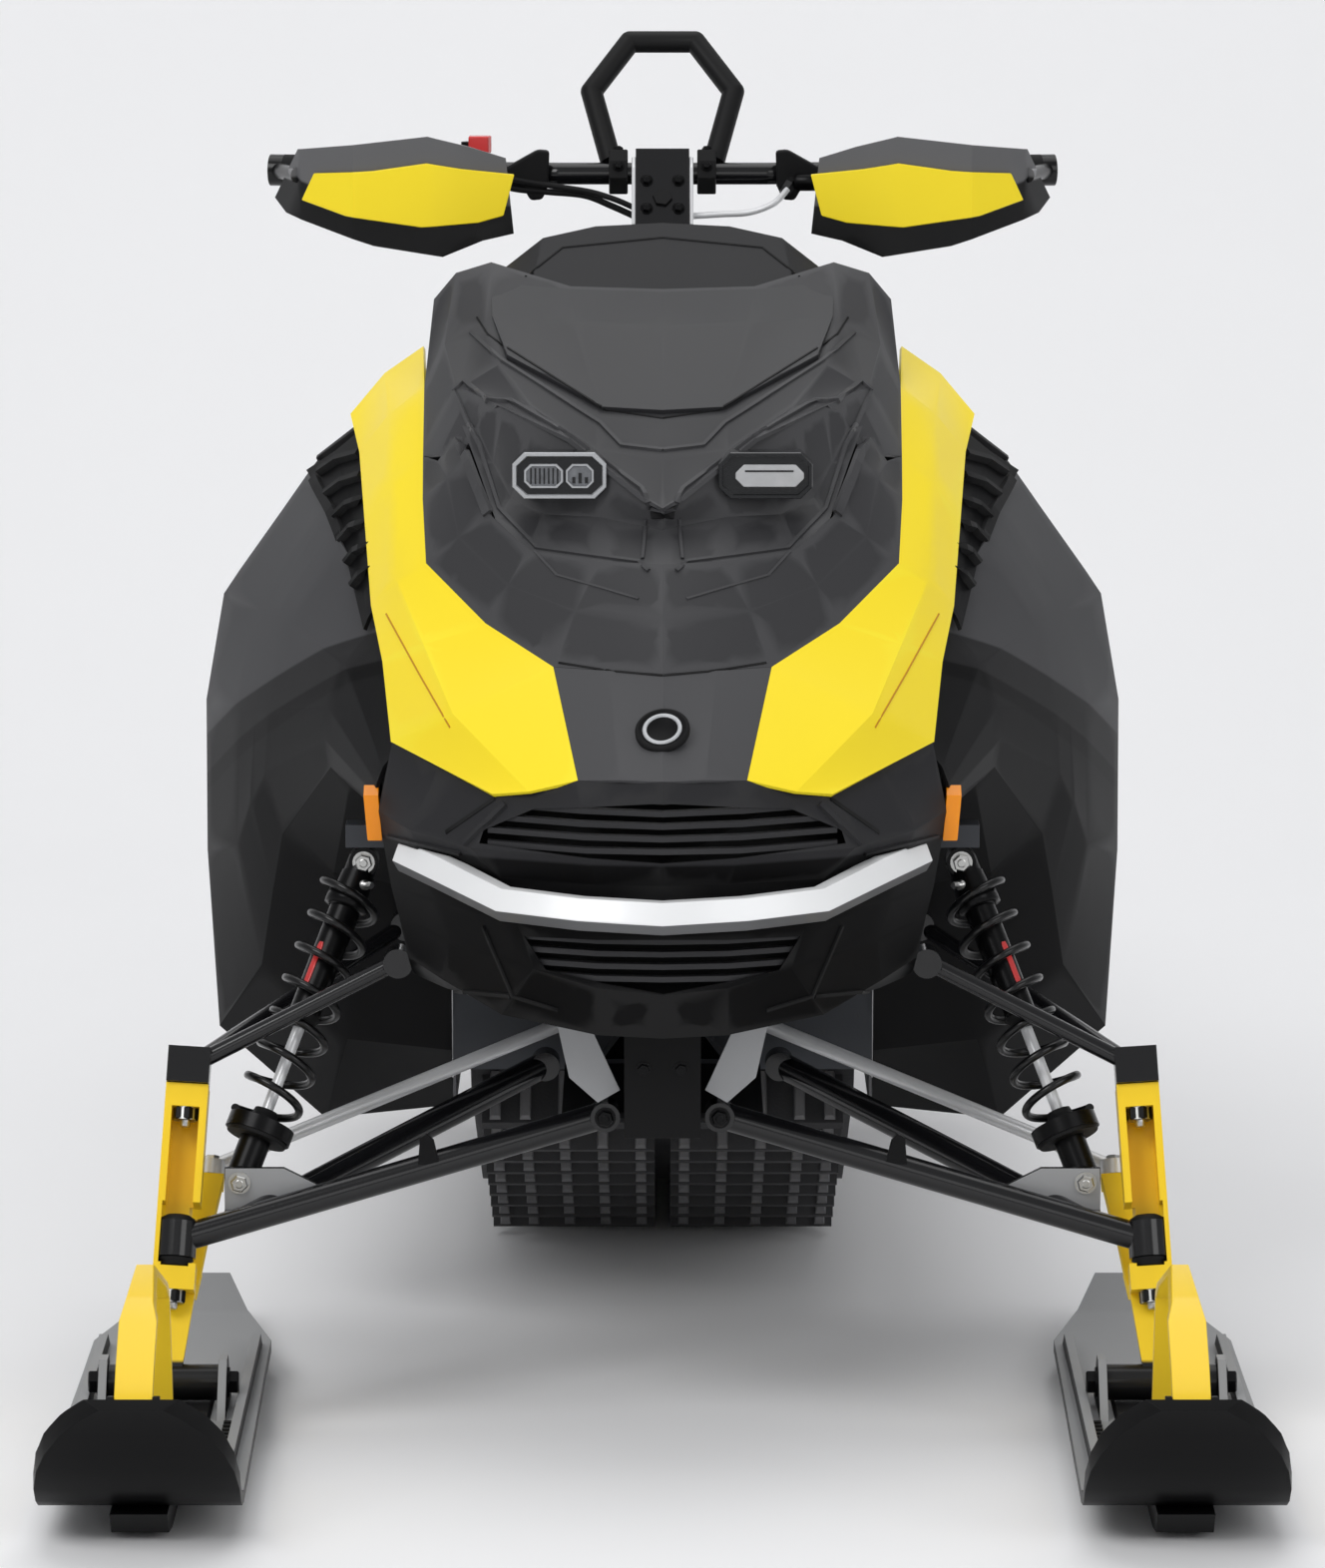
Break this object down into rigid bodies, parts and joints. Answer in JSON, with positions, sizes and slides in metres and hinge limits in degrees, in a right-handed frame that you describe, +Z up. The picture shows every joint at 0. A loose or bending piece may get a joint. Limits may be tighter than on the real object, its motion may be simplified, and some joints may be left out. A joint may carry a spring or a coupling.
{
  "type": "mountain snowmobile",
  "caption": "Snowmobile with two steered skis, driven lugged track under a sheet tunnel, sharp nose with lamps, high handlebar with strap and handguards",
  "frame": {"origin": "on the floor at the middle of the length and width", "axes": "+Z up, -Y to the front, +X to the rider's left"},
  "size_m": [1.12, 3, 1.2841],
  "materials": {
    "tunnel_sheet": "satin",
    "frame_metal": "satin",
    "engine_metal": "cast",
    "dark_plastic": "satin",
    "gloss_dark": "gloss",
    "black_plastic": "textured",
    "yellow_plastic": "gloss",
    "yellow_metal": "gloss",
    "black_metal": "gloss",
    "silver_metal": "satin",
    "steel": "brushed",
    "rubber": "matte",
    "seat_vinyl": "grained vinyl",
    "grey_plastic": "satin",
    "lamp_glass": "clear",
    "red_plastic": "gloss",
    "amber_plastic": "gloss"
  },
  "bodies": {
    "chassis": {"tunnel": "tunnel_sheet", "running_boards": "tunnel_sheet", "bulkhead": "frame_metal", "front_subframe": "frame_metal", "engine_block": "engine_metal", "fuel_tank": "black_plastic", "seat": "seat_vinyl", "snow_flap": "black_plastic", "rear_bumper": "black_metal", "taillight": "red_plastic", "track": "rubber", "drive_axle": "steel", "slide_rails": "frame_metal", "skid_wheels": "black_plastic", "skid_arms": "black_metal", "skid_shocks": "steel", "lower_arms": "black_metal", "upper_arms": "black_metal", "shocks": "silver_metal", "springs": "black_metal", "hood": "dark_plastic", "windshield": "gloss_dark", "console": "dark_plastic", "nose_fenders": "yellow_plastic", "nose_panel": "dark_plastic", "belly_pan": "dark_plastic", "side_panels": "dark_plastic", "knee_panels": "dark_plastic", "side_vents": "black_plastic", "grilles": "black_plastic", "front_bumper": "silver_metal", "headlights": "lamp_glass", "marker_lamps": "amber_plastic"},
    "steering": {"steering_column": "black_metal", "handlebar": "black_metal", "grips": "rubber", "grab_strap": "rubber", "handguards": "black_plastic", "handguard_trims": "yellow_plastic", "controls": "black_plastic"},
    "leg_left": {"ski_leg_left": "yellow_metal", "joint_studs_left": "steel"},
    "rod_left": {"tie_rod_left": "silver_metal"},
    "ski_and_bolt_left": {"ski_left": "grey_plastic", "ski_handle_left": "yellow_plastic", "ski_bolt_left": "steel"},
    "leg_right": {"ski_leg_right": "yellow_metal", "joint_studs_right": "steel"},
    "rod_right": {"tie_rod_right": "silver_metal"},
    "ski_and_bolt_right": {"ski_right": "grey_plastic", "ski_handle_right": "yellow_plastic", "ski_bolt_right": "steel"}
  },
  "joints": [
    {"name": "steering_turn", "type": "hinge", "parent": "chassis", "child": "steering", "pos_m": [0, -0.726, 0.372], "axis": [0, 0.5477, 0.8367], "range_deg": [-32, 32]},
    {"name": "leg_turn_left", "type": "hinge", "parent": "chassis", "child": "leg_left", "pos_m": [0.457, -0.96, 0.193], "axis": [-0.0598, 0.3407, 0.9383], "range_deg": [-32, 32]},
    {"name": "rod_turn_left", "type": "hinge", "parent": "leg_left", "child": "rod_left", "pos_m": [0.43, -0.838, 0.24], "axis": [-0.0598, 0.3407, 0.9383], "range_deg": [-32, 32]},
    {"name": "ski_pitch_left", "type": "hinge", "parent": "leg_left", "child": "ski_and_bolt_left", "pos_m": [0.468, -0.994, 0.064], "axis": [1, 0, 0], "range_deg": [-20, 15]},
    {"name": "leg_turn_right", "type": "hinge", "parent": "chassis", "child": "leg_right", "pos_m": [-0.457, -0.96, 0.193], "axis": [0.0598, 0.3407, 0.9383], "range_deg": [-32, 32]},
    {"name": "rod_turn_right", "type": "hinge", "parent": "leg_right", "child": "rod_right", "pos_m": [-0.43, -0.838, 0.24], "axis": [0.0598, 0.3407, 0.9383], "range_deg": [-32, 32]},
    {"name": "ski_pitch_right", "type": "hinge", "parent": "leg_right", "child": "ski_and_bolt_right", "pos_m": [-0.468, -0.994, 0.064], "axis": [1, 0, 0], "range_deg": [-20, 15]}
  ],
  "couplings": [
    {"joint": "leg_turn_left", "follows": "steering_turn", "ratio": 1},
    {"joint": "rod_turn_left", "follows": "steering_turn", "ratio": -1},
    {"joint": "leg_turn_right", "follows": "steering_turn", "ratio": 1},
    {"joint": "rod_turn_right", "follows": "steering_turn", "ratio": -1}
  ]
}
